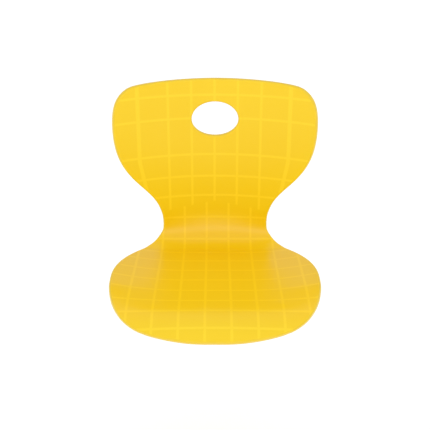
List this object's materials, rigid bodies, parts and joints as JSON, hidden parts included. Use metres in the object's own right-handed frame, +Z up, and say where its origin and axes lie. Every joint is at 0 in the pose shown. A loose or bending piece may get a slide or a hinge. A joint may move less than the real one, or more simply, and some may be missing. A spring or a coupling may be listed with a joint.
{
  "type": "chair shell",
  "caption": "One-piece moulded chair shell: wide seat with a falling front lip, narrow waist, and a broad hollow back with an oval hand hole.",
  "frame": {"origin": "on the flat underside of the seat, midway between the four tee nuts", "axes": "+X to the right seen from the front, +Y to the rear, +Z up, with the flat of the seat level"},
  "size_m": [0.4092, 0.4044, 0.4003],
  "materials": {
    "laminate": "semi-gloss yellow decorative laminate with a faint lighter check",
    "veneer": "beech veneer, its edges lacquered yellow",
    "zinc_steel": "zinc plated"
  },
  "bodies": {
    "root": {"front_laminate": "laminate", "core_ply_1": "veneer", "core_ply_2": "veneer", "core_ply_3": "veneer", "core_ply_4": "veneer", "core_ply_5": "veneer", "core_ply_6": "veneer", "core_ply_7": "veneer", "rear_laminate": "laminate", "tee_nut_front_left": "zinc_steel", "tee_nut_front_right": "zinc_steel", "tee_nut_rear_left": "zinc_steel", "tee_nut_rear_right": "zinc_steel"}
  },
  "joints": []
}
